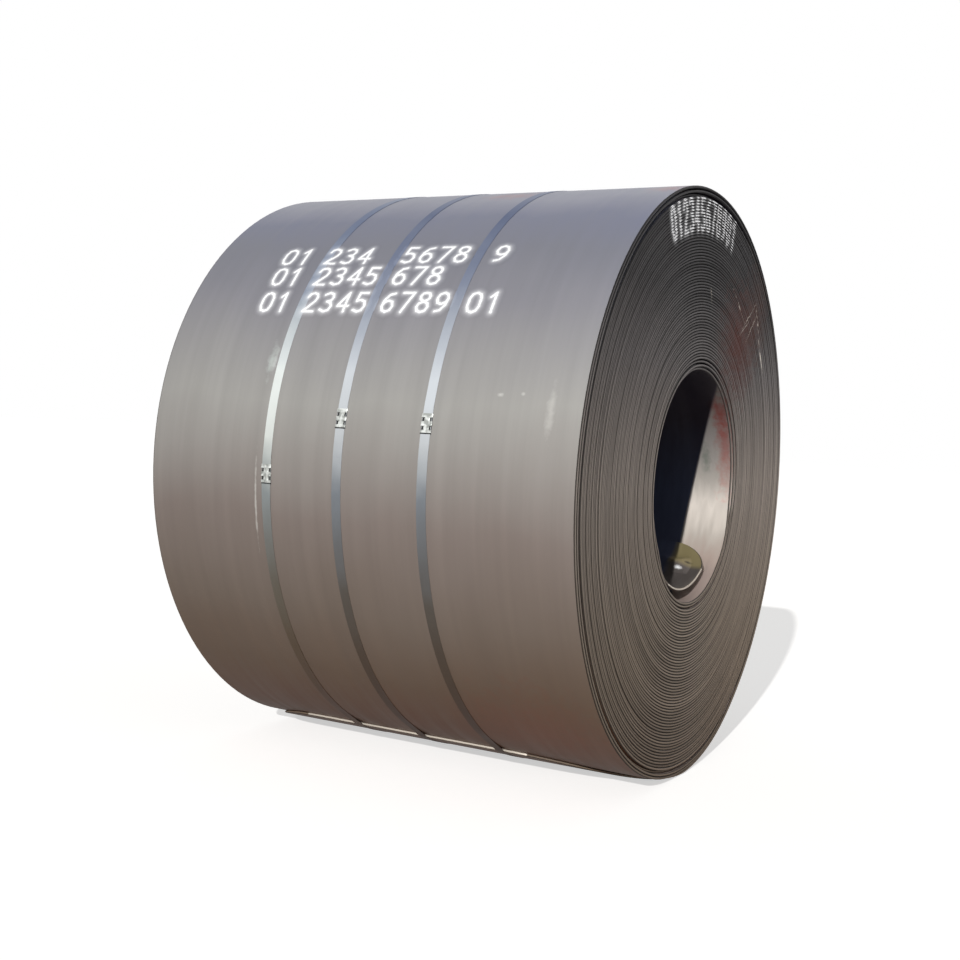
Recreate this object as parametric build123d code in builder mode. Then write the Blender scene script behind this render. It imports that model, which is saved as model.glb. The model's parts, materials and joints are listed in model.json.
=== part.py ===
from build123d import *
import os
from math import acos, atan2, cos, degrees, radians, sin

# A hot-rolled steel coil lying on its round side, held by three steel straps.
# Lengths are in millimetres. The origin is the centre of the bore, +Y runs along the
# coil's axis and +Z is up. Angles are in degrees, from +X towards +Z.

# Strip and winding
strip_thickness = 9.5
strip_width = 1500.0
bore_diameter = 762.0
lap_count = 62
lap_gap = 0.05
cut_overrun = 20.0
corner_step = 1.0

# Lap edges, as they show on both ends of the coil
edge_round = 1.5
edge_depth = 2.4
slack_round = 2.6
slack_depth = 14.0
slack_inner_laps = 3
slack_outer_laps = 2
edge_stagger = 1.4
stagger_shares = (0.0, 0.5, -0.3, 0.9, 0.2, -0.8, 0.4, -0.1, 1.0, -0.5, 0.1)

# Tail end of the strip, lying on the outside under the coil
tail_tip_angle = 247.0
tail_sweep = 39.0
tail_closing_sweep = 24.0
tail_closing_overlap = 3.0
tail_root_depth = 2.0
tail_near_corner = 450.0
tail_far_corner = 280.0

# Head end of the strip, lying in the bore
head_tip_angle = 327.0
head_root_angle = 236.0
head_ramp_sweep = 32.0
head_edge_inset = 45.0
head_slack = 3.0
head_near_corner = 125.0
head_far_corner = 90.0

# Straps
strap_width = 32.0
strap_thickness = 1.0
strap_clearance = 0.3
strap_place_shares = (0.193, 0.02, -0.177)
strap_lead_end = 48.0
strap_loose_end = 115.0

# Strap seals
seal_angles = (181.4, 170.7, 170.8)
seal_length = 60.0
seal_thickness = 1.5
seal_clearance = 0.3
seal_side_clearance = 0.8
seal_fold_radius = 1.2
notch_length = 9.0
notch_depth = 6.0
notch_spacing = 26.0

full_turn = 360.0
half_width = strip_width / 2
lap_pitch = strip_thickness + lap_gap
bore_radius = bore_diameter / 2
outer_radius = bore_radius + lap_count * lap_pitch


def around(radius, angle):
    """The point of the coil's cross-section at this radius and angle."""
    return (radius * cos(radians(angle)), radius * sin(radians(angle)))


def ring_sector(inner, outer, start, sweep):
    """The outline of a piece of ring round the coil's axis."""
    CenterArc((0, 0), inner, start, sweep)
    CenterArc((0, 0), outer, start, sweep)
    Line(around(inner, start), around(outer, start))
    Line(around(inner, start + sweep), around(outer, start + sweep))


# Each lap stands a little in or out of line with its neighbours
def lap_shift(lap):
    return edge_stagger * stagger_shares[lap % len(stagger_shares)]


# The groove between a lap and the next one out: half its width and its depth
def lap_groove(lap):
    slack = lap < slack_inner_laps or lap >= lap_count - 1 - slack_outer_laps
    return (slack_round, slack_depth) if slack else (edge_round, edge_depth)


# One end of the winding as a chain of points, from the bore outwards
def lap_edges(side):
    points = [(bore_radius, side * (half_width - edge_depth) + lap_shift(0))]
    inner_round = edge_round
    for lap in range(lap_count):
        edge = side * half_width + lap_shift(lap)
        lap_inside = bore_radius + lap * lap_pitch
        lap_outside = lap_inside + lap_pitch
        outer_round, depth = lap_groove(lap)
        if lap == lap_count - 1:
            outer_round, depth = edge_round, edge_depth
        points.append((lap_inside + inner_round, edge))
        points.append((lap_outside - outer_round, edge))
        points.append((lap_outside, edge - side * depth))
        inner_round = outer_round
    return points


def corner_waste(tip_angle, turn, edge_place, into, radius):
    """What rounding takes off one corner of the strip's end, seen along the radius at its tip.

    turn is +1 where the strip runs on towards larger angles, and into is the way along
    the axis, +1 or -1, that leads from this edge of the strip into it.
    """
    along = (-turn * sin(radians(tip_angle)), 0, turn * cos(radians(tip_angle)))
    facing = (-turn * into * cos(radians(tip_angle)), 0, -turn * into * sin(radians(tip_angle)))
    # The arc stands back by one step, so it meets tip and edge at a slight angle
    centre = radius - corner_step
    with BuildSketch(Plane((0, edge_place, 0), along, facing)) as waste:
        with Locations(((centre - cut_overrun) / 2, (centre - cut_overrun) / 2)):
            Rectangle(centre + cut_overrun, centre + cut_overrun)
        with Locations((centre, centre)):
            Circle(radius, mode=Mode.SUBTRACT)
    return waste.sketch


# Tail end: the last stretch of strip lies proud of the coil by its whole thickness,
# and then closes down on it along a tighter arc, up to the common tangent of arc and coil.
tail_radius = outer_radius + strip_thickness
closing_angle = tail_tip_angle + tail_sweep
closing_share = cos(radians(tail_closing_sweep))
closing_radius = (outer_radius - tail_radius * closing_share) / (1 - closing_share)
closing_centre = around(tail_radius - closing_radius, closing_angle)
tail_near_waste = corner_waste(tail_tip_angle, 1, -half_width, 1, tail_near_corner)
tail_far_waste = corner_waste(tail_tip_angle, 1, half_width, -1, tail_far_corner)
with BuildPart() as tail_lap:
    with BuildSketch(Plane.XZ.offset(half_width)):
        with BuildLine():
            bed_radius = outer_radius - tail_root_depth
            tail_skin = CenterArc((0, 0), tail_radius, tail_tip_angle, tail_sweep)
            closing = CenterArc(closing_centre, closing_radius, closing_angle,
                                tail_closing_sweep + tail_closing_overlap)
            closed_angle = degrees(atan2((closing @ 1).Y, (closing @ 1).X)) % full_turn
            bed = CenterArc((0, 0), bed_radius, tail_tip_angle, closed_angle - tail_tip_angle)
            Line(tail_skin @ 0, bed @ 0)
            Line(bed @ 1, closing @ 1)
        make_face()
    extrude(amount=-strip_width)
    extrude(tail_near_waste, amount=outer_radius + cut_overrun, both=True, mode=Mode.SUBTRACT)
    extrude(tail_far_waste, amount=outer_radius + cut_overrun, both=True, mode=Mode.SUBTRACT)

# Head end: the first stretch of strip, a rounded tongue narrower than the rest
tongue_outside = bore_radius + strip_thickness
head_near_waste = corner_waste(head_tip_angle, -1, head_edge_inset - half_width, 1, head_near_corner)
head_far_waste = corner_waste(head_tip_angle, -1, half_width, -1, head_far_corner)
with BuildPart() as head_tongue:
    with BuildSketch(Plane.XZ.offset(half_width - head_edge_inset)):
        with BuildLine():
            ring_sector(bore_radius - head_slack, tongue_outside, head_root_angle,
                        head_tip_angle - head_root_angle)
        make_face()
    extrude(amount=head_edge_inset - strip_width - cut_overrun)
    extrude(head_near_waste, amount=tongue_outside + cut_overrun, both=True, mode=Mode.SUBTRACT)
    extrude(head_far_waste, amount=tongue_outside + cut_overrun, both=True, mode=Mode.SUBTRACT)

# The room that the head end leaves: beside the tongue, under it, and past its tip,
# where the next lap comes in until it lies on the bore's own circle.
pocket_radius = tongue_outside + head_slack
with BuildPart() as head_room:
    with BuildSketch(Plane.XZ.offset(half_width + cut_overrun)):
        with BuildLine():
            ring_sector(bore_radius - head_slack, pocket_radius, head_root_angle,
                        head_tip_angle - head_root_angle)
        make_face()
        with BuildLine():
            ramp_end = head_tip_angle + head_ramp_sweep
            inside_tip = around(bore_radius - head_slack, head_tip_angle)
            inside_end = around(bore_radius - head_slack, ramp_end)
            ramp_middle = around((pocket_radius + bore_radius) / 2, (head_tip_angle + ramp_end) / 2)
            Line(inside_tip, around(pocket_radius, head_tip_angle))
            ThreePointArc(around(pocket_radius, head_tip_angle), ramp_middle, around(bore_radius, ramp_end))
            Line(around(bore_radius, ramp_end), inside_end)
            CenterArc((0, 0), bore_radius - head_slack, head_tip_angle, head_ramp_sweep)
        make_face()
    extrude(amount=-strip_width - 2 * cut_overrun)
    add(head_tongue.part, mode=Mode.SUBTRACT)

# The coil: one turned solid whose laps show on its ends
with BuildPart() as steel_coil:
    with BuildSketch(Plane.XY):
        with BuildLine():
            Polyline(*lap_edges(-1), *reversed(lap_edges(1)), close=True)
        make_face()
    revolve(axis=Axis.Y)
    add(tail_lap.part)
    add(head_room.part, mode=Mode.SUBTRACT)

# A strap runs round the coil, straight from the tail's upper corner down to the lap below
def strap_line(stand_off):
    """The closed line round coil and tail, at this distance from their skin."""
    coil = outer_radius + stand_off
    tail = tail_radius + stand_off
    lift = degrees(acos(coil / tail))
    over_tail = CenterArc((0, 0), tail, tail_tip_angle, tail_sweep)
    over_closing = CenterArc(closing_centre, closing_radius + stand_off, closing_angle, tail_closing_sweep)
    landing_angle = closing_angle + tail_closing_sweep
    round_coil = tail_tip_angle + full_turn - lift - landing_angle
    over_coil = CenterArc((0, 0), coil, landing_angle, round_coil)
    Line(over_closing @ 1, over_coil @ 0)
    Line(over_coil @ 1, over_tail @ 0)


def make_strap(name, place, seal_angle):
    layer = outer_radius + strap_clearance + strap_thickness
    lead = degrees(strap_lead_end / layer)
    loose = degrees(strap_loose_end / layer)
    with BuildPart() as strap:
        with BuildSketch(Plane.XZ.offset(-place)):
            with BuildLine():
                strap_line(strap_clearance + strap_thickness)
            make_face()
            with BuildLine():
                strap_line(strap_clearance)
            make_face(mode=Mode.SUBTRACT)
        extrude(amount=strap_width / 2, both=True)
        # The strap's two ends lie over each other at the seal
        with BuildSketch(Plane.XZ.offset(-place)):
            with BuildLine():
                ring_sector(layer, layer + strap_thickness, seal_angle - lead, lead + loose)
            make_face()
        extrude(amount=strap_width / 2, both=True)
    strap.part.label = name
    export_step(strap.part, f"parts/{name}.step")


# A seal is a folded clip, crimped with two pairs of notches over both strap layers
channel_height = 2 * strap_thickness + seal_clearance
channel_width = strap_width + 2 * seal_side_clearance
seal_width = channel_width + 2 * seal_thickness


def make_seal(name, place, seal_angle):
    outwards = (cos(radians(seal_angle)), 0, sin(radians(seal_angle)))
    along = (-sin(radians(seal_angle)), 0, cos(radians(seal_angle)))
    foot_radius = outer_radius + strap_clearance
    foot = Plane((foot_radius * outwards[0], place, foot_radius * outwards[2]), along, outwards)
    with BuildPart() as seal:
        with BuildSketch(foot):
            Rectangle(seal_length, seal_width)
        extrude(amount=channel_height + seal_thickness)
        fold_edges = seal.edges().filter_by(Axis((0, 0, 0), along))
        outer_edges = fold_edges.sort_by(Axis((0, 0, 0), outwards))[-2:]
        fillet(outer_edges, radius=seal_fold_radius)
        with BuildSketch(foot):
            Rectangle(seal_length + cut_overrun, channel_width)
        extrude(amount=channel_height, mode=Mode.SUBTRACT)
        with BuildSketch(foot):
            with GridLocations(notch_spacing, seal_width, 2, 2):
                Rectangle(notch_length, 2 * notch_depth)
        extrude(amount=channel_height + seal_thickness, mode=Mode.SUBTRACT)
    seal.part.label = name
    export_step(seal.part, f"parts/{name}.step")


os.makedirs("parts", exist_ok=True)
steel_coil.part.label = "steel_coil"
export_step(steel_coil.part, "parts/steel_coil.step")
for number, place_share in enumerate(strap_place_shares, start=1):
    strap_place = place_share * strip_width
    make_strap(f"strap_{number}", strap_place, seal_angles[number - 1])
    make_seal(f"strap_seal_{number}", strap_place, seal_angles[number - 1])
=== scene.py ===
import json
import math
import random
from functools import lru_cache

import bmesh
import bpy
from mathutils import Matrix, Vector, geometry, noise


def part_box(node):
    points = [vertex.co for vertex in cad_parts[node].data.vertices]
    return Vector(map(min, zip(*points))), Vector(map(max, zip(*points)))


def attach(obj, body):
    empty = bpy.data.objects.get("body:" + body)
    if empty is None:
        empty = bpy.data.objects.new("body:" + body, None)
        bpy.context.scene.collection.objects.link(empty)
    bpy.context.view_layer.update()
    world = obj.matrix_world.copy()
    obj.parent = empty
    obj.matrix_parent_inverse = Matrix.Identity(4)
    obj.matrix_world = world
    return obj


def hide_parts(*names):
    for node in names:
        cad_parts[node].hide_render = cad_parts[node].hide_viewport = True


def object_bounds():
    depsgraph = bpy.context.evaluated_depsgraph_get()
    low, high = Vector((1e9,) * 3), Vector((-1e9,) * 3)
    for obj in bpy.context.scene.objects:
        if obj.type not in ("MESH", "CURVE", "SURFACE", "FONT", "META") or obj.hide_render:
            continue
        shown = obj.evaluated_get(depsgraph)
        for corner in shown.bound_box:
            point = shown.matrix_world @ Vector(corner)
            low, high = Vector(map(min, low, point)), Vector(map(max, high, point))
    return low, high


# A hot-rolled steel coil: the strip as it is really wound, its three straps with their
# crimped seals, and the white paint marks. Everything is in metres.

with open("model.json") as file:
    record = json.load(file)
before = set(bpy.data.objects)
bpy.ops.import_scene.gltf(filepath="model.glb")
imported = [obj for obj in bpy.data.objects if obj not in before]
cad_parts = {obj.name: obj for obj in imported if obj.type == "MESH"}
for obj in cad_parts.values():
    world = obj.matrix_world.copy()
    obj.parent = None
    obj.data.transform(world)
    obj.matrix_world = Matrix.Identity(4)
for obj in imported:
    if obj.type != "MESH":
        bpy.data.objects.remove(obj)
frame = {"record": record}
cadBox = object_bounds()
print("frame loaded")

mm = 0.001
weld = 0.001 * mm                 # corners closer than this become one
tiny = 1e-7                       # next to nothing, but with a sign
bore = frame["record"]["mounts"][0]["dims"]
boreRadius = bore["r_mm"] * mm
halfWidth = bore["length_mm"] * mm / 2
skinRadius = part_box("steel_coil")[1].z


# Small helpers

def smoothStep(low, high, value):
    share = min(max((value - low) / (high - low), 0.0), 1.0)
    return share * share * (3 - 2 * share)


def blendTable(table, place):
    # between whole numbers the table's values run straight from one to the next
    low = math.floor(place)
    share = place - low
    return table(low) * (1 - share) + (table(low + 1) * share if share else 0.0)


def aroundAxis(radius, angle, y):
    return Vector((radius * math.cos(math.radians(angle)), y, radius * math.sin(math.radians(angle))))


def hexColor(code):
    # sRGB hex to the linear colour that the sockets want
    channels = [int(code[i:i + 2], 16) / 255 for i in (1, 3, 5)]
    return [c / 12.92 if c <= 0.04045 else ((c + 0.055) / 1.055) ** 2.4 for c in channels] + [1.0]


def mainOutput(source):
    # a node stands for the first of its outputs that is in use
    if isinstance(source, bpy.types.NodeSocket):
        return source
    return next(output for output in source.outputs if output.enabled)


def addNode(tree, kind, settings=None, links=None):
    # colours are hex codes; the stops of a ramp may also be plain grey levels
    made = tree.nodes.new(kind)
    for key, value in (settings or {}).items():
        if key == "stops":
            stops = made.color_ramp.elements
            stops.remove(stops[1])
            for index, (place, color) in enumerate(value):
                stop = stops.new(place) if index else stops[0]
                stop.position = place
                stop.color = hexColor(color) if isinstance(color, str) else (color, color, color, 1)
        elif isinstance(key, int) or key in made.inputs:
            isColor = isinstance(value, str) and value.startswith("#")
            made.inputs[key].default_value = hexColor(value) if isColor else value
        else:
            setattr(made, key, value)
    for key, source in (links or {}).items():
        tree.links.new(mainOutput(source), made.inputs[key])
    return made


def newMaterial(name):
    material = bpy.data.materials.new(name)
    material.use_nodes = True
    tree = material.node_tree
    return material, tree, tree.nodes["Principled BSDF"]


def newGrid(columns, rows, size=1.0):
    bm = bmesh.new()
    bmesh.ops.create_grid(bm, x_segments=columns, y_segments=rows, size=size)
    return bm


def gridPlace(spot, columns, rows):
    # where this is in a new grid, counted in columns and rows
    return (spot.x + 1) / 2 * columns, (spot.y + 1) / 2 * rows


def closeEnds(bm, sides):
    # weld the seam along a wound section and fill both its ends
    bmesh.ops.remove_doubles(bm, verts=bm.verts, dist=weld)
    openEdges = [edge for edge in bm.edges if edge.is_boundary]
    return bmesh.ops.holes_fill(bm, edges=openEdges, sides=sides)["faces"]


def sharpenEdges(bm, degrees):
    bmesh.ops.recalc_face_normals(bm, faces=bm.faces)
    for edge in bm.edges:
        if len(edge.link_faces) == 2 and edge.calc_face_angle() > math.radians(degrees):
            edge.smooth = False


def newObject(name, data):
    made = bpy.data.objects.new(name, data)
    bpy.context.scene.collection.objects.link(made)
    return made


def meshObject(name, bm, materials):
    mesh = bpy.data.meshes.new(name)
    bm.to_mesh(mesh)
    bm.free()
    for material in materials:
        mesh.materials.append(material)
    return newObject(name, mesh)


def finishPiece(name, bm, materials):
    for face in bm.faces:
        face.smooth = True
    piece = meshObject(name, bm, materials)
    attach(piece, "root")
    return piece


# The strip: how it lies in the coil

strip = dict(
    laps=62,
    stepDegrees=2.5,
    tailAngle=247.0,              # where the tail's tip lies, from +X towards +Z
    tailRamp=(39.0, 63.0),        # degrees past the tail's tip where the outer lap closes down
    headSweep=74.0,               # degrees past the tail's angle where the head's tip lies
    headRamp=(76.0, 110.0),
    tightGap=0.12 * mm,
    tailGap=0.2 * mm,
    boreSlack=8.0 * mm,           # shared by the three gaps next to the bore
    boreShares=(0.30, 0.22),      # mean share of each of the first two, and its swing round the coil
    boreWidest=(315.0, 95.0),     # where these two are widest
    looseGaps={60: 2.5 * mm, 61: 4.0 * mm},
    openFrom=(5.0, 50.0),         # the loose gaps open up over these degrees,
    openTo=(200.0, 245.0),        # and the coil's weight closes them again over these
    openLeast=0.08,
    setBack={1: 9.0 * mm, 2: 3.0 * mm, 3: 5.0 * mm, 60: 12.0 * mm},     # near edges that stand deep
    headLift=32.0 * mm,           # the free head end springs off the wall of the bore
    headLiftFrom=(150.0, 70.0),   # degrees before its tip
    headInset=22.0 * mm,
    headInsetFrom=(110.0, 75.0),
    dent=dict(before=19.0, across=95.0 * mm, reach=(8.0, 60.0 * mm), high=26.0 * mm),   # its buckle
    headCuts=(12, 24, 36, 50, 65, 80, 95, 110, 130, 155, 190, 250, 400, 700),   # mm from the near edge
    headCutsFrom=60.0,            # degrees before its tip
    tailCorners=(450.0 * mm, 280.0 * mm),     # near and far
    headCorners=(140.0 * mm, 90.0 * mm),
    edgeRound=2.5 * mm,           # the rolled edge: rounded this far in from both faces
    edgeDeep=4.4 * mm,            # and this deep
    edgeWander=1.0 * mm,
    nearWaves=((1.0, 2.7, 3.3, 0), (0.6, 11, 7.1, 0)),     # height, waves to a turn, row in the noise
    farWaves=((1.0, 2.3, 9.7, 4), (0.6, 9, 1.9, 2)),
    cornerSteps=24,
    brightSteps=2,                # of them at the tail, those that were sheared bright
    headHighlight=(75.0, 20.0),      # degrees before the head's tip between which its edge takes the bright cut-end colour, a painted highlight
    sharpAbove=14.0,
)
totalDegrees = 360 * strip["laps"] + strip["headSweep"]
meanRadius = (skinRadius + boreRadius) / 2

evenFrom = 4                      # the gaps from this one outwards are even, but for the loose ones
openGaps = {count: strip["looseGaps"].get(count, strip["tightGap"])
            for count in range(evenFrom, strip["laps"])}
openBelow = {count: sum(openGaps[lower] for lower in range(evenFrom, count))
             for count in range(evenFrom, strip["laps"] + 1)}
evenGap = sum(openGaps.values()) / len(openGaps)


def opennessAt(angle):
    # 1 where the outer laps stand apart, near 0 where the coil's weight has closed them
    angle %= 360
    opened = smoothStep(*strip["openFrom"], angle) * (1 - smoothStep(*strip["openTo"], angle))
    return strip["openLeast"] + (1 - strip["openLeast"]) * opened


def gapAt(count, angle):
    # width of the gap outside this many laps
    if count <= 0:
        return 0.0
    if count < evenFrom:
        mean, swing = strip["boreShares"]
        first, second = (mean + swing * math.cos(math.radians(angle - widest))
                         for widest in strip["boreWidest"])
        return strip["boreSlack"] * (first, second, 1 - first - second)[count - 1]
    if count >= strip["laps"]:
        return strip["tailGap"]
    return evenGap + (openGaps[count] - evenGap) * opennessAt(angle)


sheetThickness = (skinRadius - boreRadius - strip["boreSlack"] - sum(openGaps.values())) / strip["laps"]


def gapMiddle(count, angle):
    # radius of the middle of that gap
    below = sum(gapAt(lower, angle) for lower in range(1, min(count, evenFrom)))
    if count > evenFrom:
        reached = min(count, strip["laps"])
        even = evenGap * (reached - evenFrom)
        below += even + (openBelow[reached] - even) * opennessAt(angle)
        below += strip["tailGap"] * (count - reached)
    return boreRadius + count * sheetThickness + below + gapAt(count, angle) / 2


def rampAt(lap, past):
    # 1 where one lap more lies below this one, 0 once it has closed down on the next
    share = 1 - lap / strip["laps"]
    start, end = ((1 - share) * tail + share * head
                  for tail, head in zip(strip["tailRamp"], strip["headRamp"]))
    return 1 - smoothStep(start, end, past)


def surfaceRadius(count, angle, side):
    # side -1 is the outer face of the lap under this gap, +1 the inner face of the lap over it
    middle = blendTable(lambda n: gapMiddle(n, angle), count)
    return middle + side * blendTable(lambda n: gapAt(n, angle), count) / 2


def skinAt(angle):
    # outer radius of the coil at this angle
    past = (angle - strip["tailAngle"]) % 360
    return skinRadius + rampAt(strip["laps"], past) * (sheetThickness + strip["tailGap"])


# how deep each lap's near edge stands, uneven as the strip was wound
deepLaps = random.Random(11)
lapSetBack = {lap: deepLaps.choice((0.0, 0.2, 0.4, 0.6, 0.9, 1.3, 2.0)) * mm
              for lap in range(-1, strip["laps"] + 4)}
lapSetBack.update(strip["setBack"])


def cornerInset(radius, along):
    if along >= radius:
        return 0.0
    return radius - math.sqrt(radius ** 2 - (radius - along) ** 2)


def beforeHead(degrees):
    # two places along the strip, given in degrees before the head's tip
    return [totalDegrees - before for before in degrees]


def wanderAt(waves, turns):
    return sum(height * noise.noise(Vector((turns * rate, *row))) for height, rate, *row in waves)


def edgePlaces(degrees, count):
    # where the strip's near and far edges lie along the axis
    turns = degrees / 360
    near = strip["edgeWander"] * max(wanderAt(strip["nearWaves"], turns), -1.0)
    near += blendTable(lambda n: lapSetBack[n], count)
    far = strip["edgeWander"] * min(max(wanderAt(strip["farWaves"], turns), -1.0), 1.0)
    fromTail = math.radians(degrees) * (skinRadius + sheetThickness)
    fromHead = math.radians(totalDegrees - degrees) * (boreRadius + sheetThickness)
    near += strip["headInset"] * smoothStep(*beforeHead(strip["headInsetFrom"]), degrees)
    near += cornerInset(strip["tailCorners"][0], fromTail) + cornerInset(strip["headCorners"][0], fromHead)
    far -= cornerInset(strip["tailCorners"][1], fromTail) + cornerInset(strip["headCorners"][1], fromHead)
    return near - halfWidth, far + halfWidth


@lru_cache(maxsize=None)
def stripFaces(degrees):
    # angle, radius of the inner and the outer face, and place of the near and the far edge
    turn, past = divmod(degrees, 360)
    lap = strip["laps"] - int(turn)
    angle = strip["tailAngle"] + past
    outerCount = lap + rampAt(lap, past)
    innerCount = max(lap - 1 + rampAt(lap - 1, past), 0.0)
    inner = surfaceRadius(innerCount, angle, 1)
    outer = skinAt(angle) if lap == strip["laps"] else surfaceRadius(outerCount, angle, -1)
    lift = strip["headLift"] * smoothStep(*beforeHead(strip["headLiftFrom"]), degrees)
    return (angle, inner - lift, outer - lift) + edgePlaces(degrees, outerCount)


def stripPoint(degrees, across, depth):
    # degrees along the strip from its tail, metres in from its near (+) or far (-) edge, and
    # 0 to 1 from its inner to its outer face
    angle, inner, outer, near, far = stripFaces(degrees)
    y = near + across if across > 0 else far + across
    return aroundAxis(inner + (outer - inner) * depth, angle, y)


def dentAt(degrees, across):
    # how far the buckle pushes the free head end in here: a low four-sided peak
    dent = strip["dent"]
    reachAlong, reachAcross = dent["reach"]
    away = max(abs(totalDegrees - degrees - dent["before"]) / reachAlong,
               abs(across - dent["across"]) / reachAcross)
    return dent["high"] * max(1 - away, 0.0)


def buckleHead(bm, along):
    # cut the free head end's two faces across, and push the buckle in
    cuts = strip["headCuts"]
    start = math.radians(totalDegrees - strip["headCutsFrom"]) * meanRadius
    spans = [edge for edge in bm.edges if edge.verts[0][along].x == edge.verts[1][along].x > start
             and abs(edge.verts[0].co.y - edge.verts[1].co.y) > halfWidth]
    ends = {}
    for edge in spans:
        for vert in edge.verts:
            place = vert[along]
            near, far = ends.get(place.x, (place.y, place.y))
            ends[place.x] = min(near, place.y), max(far, place.y)
    bmesh.ops.subdivide_edges(bm, edges=spans, cuts=len(cuts), use_grid_fill=True)
    for vert in bm.verts:
        place = vert[along]
        if place.x <= start:
            continue
        near, far = ends[min(ends, key=lambda x: abs(x - place.x))]
        share = (place.y - near) / (far - near)
        # the cuts alone are moved, and not the sheet's two edges
        if 0.001 < share < 0.999:
            vert.co.y = near - halfWidth + cuts[round(share * (len(cuts) + 1)) - 1] * mm
            vert[along] = (place.x, vert.co.y + halfWidth, place.z)
        push = dentAt(math.degrees(place.x / meanRadius), vert.co.y + halfWidth - near)
        vert.co -= Vector((vert.co.x, 0, vert.co.z)).normalized() * push


def stripStations():
    # close together at both rounded ends, even in between
    step, count = strip["stepDegrees"], strip["cornerSteps"]
    quarter = [1 - math.cos(math.pi / 2 * i / count) for i in range(count + 1)]
    tail = [math.degrees(strip["tailCorners"][0] * share / (skinRadius + sheetThickness))
            for share in quarter]
    head = [totalDegrees - math.degrees(strip["headCorners"][0] * share / (boreRadius + sheetThickness))
            for share in reversed(quarter)]
    first = math.floor(tail[-1] / step) + 1
    last = math.ceil(head[0] / step)
    return tail + [step * i for i in range(first, last)] + head


def windStrip(materials):
    stations = stripStations()
    deep, low = strip["edgeDeep"], strip["edgeRound"] / sheetThickness
    high = 1 - low
    section = [(deep, 0), (tiny, low), (tiny, high), (deep, 1),
               (-deep, 1), (-tiny, high), (-tiny, low), (-deep, 0)]
    outside, rolled, inside, cut = range(4)
    sectionMaterials = (rolled, rolled, rolled, outside, rolled, rolled, rolled, inside)
    rows, segments = len(section), len(stations) - 1
    highlightFrom, highlightTo = beforeHead(strip["headHighlight"])
    bm = newGrid(segments, rows)
    for face in bm.faces:
        station, row = gridPlace(face.calc_center_median(), segments, rows)
        face.material_index = sectionMaterials[int(row)]
        # the tail's first steps are sheared bright; the head's stretch is a painted highlight on its edge
        bright = int(station) < strip["brightSteps"] or highlightFrom < stations[int(station)] < highlightTo
        if face.material_index == rolled and bright:
            face.material_index = cut
    along = bm.verts.layers.float_vector.new("stripPlace")
    for vert in bm.verts:
        station, row = gridPlace(vert.co, segments, rows)
        degrees = stations[round(station)]
        across, depth = section[round(row) % rows]
        vert.co = stripPoint(degrees, across, depth)
        # metres along the strip, metres across it, and 0 to 1 from its inner to its outer face
        vert[along] = (math.radians(degrees) * meanRadius, vert.co.y + halfWidth, depth)
    for face in closeEnds(bm, rows):
        face.material_index = cut
    buckleHead(bm, along)
    bmesh.ops.recalc_face_normals(bm, faces=bm.faces)
    for edge in bm.edges:
        sides = {face.material_index for face in edge.link_faces}
        flat = edge.calc_face_angle(0.0) < math.radians(strip["sharpAbove"])
        edge.smooth = sides == {rolled} or flat and (len(sides) == 1 or sides == {rolled, cut})
    piece = finishPiece("wound_strip", bm, materials)
    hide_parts("steel_coil")


# faint marks: radius, angle and place along the axis of the middle, half length, half width along
# the axis and half width otherwise, direction of the length in the end face, tint, strength
skinMarks = (
    (skinRadius, 160.5, 331, (75, 22, 75), 0, "#c0c8c3", 0.50),       # scuffs beside the first strap
    (skinRadius, 186.0, 331, (190, 5, 190), 0, "#c9c7c1", 0.55),
    (skinRadius, 161.0, 318, (55, 8, 55), 0, "#c6c8c6", 0.35),
    (skinRadius, 165.3, -487, (7, 12, 7), 0, "#d6d4cf", 0.55),        # small knocks
    (skinRadius, 165.0, -558, (6, 9, 6), 0, "#cfccc8", 0.45),
    (skinRadius, 167.5, -650, (95, 16, 95), 0, "#d0cdc8", 0.35),
    (skinRadius, 109.0, -160, (75, 130, 75), 0, "#a2706c", 0.40),     # rust bloom along the top
    (skinRadius, 107.0, -700, (85, 90, 85), 0, "#a8726c", 0.45),
    (skinRadius, 232.0, -520, (300, 320, 300), 0, "#6b3b28", 0.40),   # and low down near the end
)
edgeMarks = (
    (600 * mm, 55.0, -750, (260, 60, 260), 0, "#4a241e", 0.85),       # rust above and beside the bore
    (800 * mm, 50.0, -750, (200, 60, 200), 0, "#46302b", 0.75),
    (940 * mm, 118.0, -750, (250, 60, 34), 28, "#1b1a1f", 0.65),      # darker scale on the outer laps
    (850 * mm, 58.0, -750, (150, 60, 55), -32, "#211f21", 0.50),
    (775 * mm, 37.2, -750, (87, 20, 3.6), -57, "#e6ddd2", 0.95),      # scratches
    (748 * mm, 53.2, -750, (104, 20, 2.8), 36, "#c4bbb1", 0.85),
    (691 * mm, 53.8, -750, (86, 20, 2.6), 30, "#c4bbb1", 0.75),
    (813 * mm, 46.5, -750, (89, 20, 2.6), -62, "#c4bbb1", 0.75),
    (707 * mm, 61.6, -750, (118, 20, 2.4), -36, "#c4bbb1", 0.65),
    (743 * mm, 49.2, -750, (93, 20, 2.4), 45, "#c4bbb1", 0.70),
    (633 * mm, 87.5, -750, (45, 20, 3.2), -66, "#c4bbb1", 0.75),
)
boreMarks = (
    (boreRadius, 22.0, -722, (240, 48, 240), 0, "#ffbab5", 0.85, "MULTIPLY"),    # rust-red patch
    (boreRadius, 40.0, -715, (110, 50, 110), 0, "#ffa8a4", 0.85, "MULTIPLY"),
    (boreRadius, 12.0, -646, (70, 24, 70), 0, "#c4d2cc", 0.90, "MULTIPLY"),
)
headMarks = (
    (334 * mm, 298.0, -641, (12, 16, 26), 27, "#ffffff", 1.00),       # a painted highlight on the buckle
    (342 * mm, 304.5, -664, (8, 18, 24), 34, "#221c1a", 0.90),        # and painted shadow in the crease beside it
)

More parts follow.
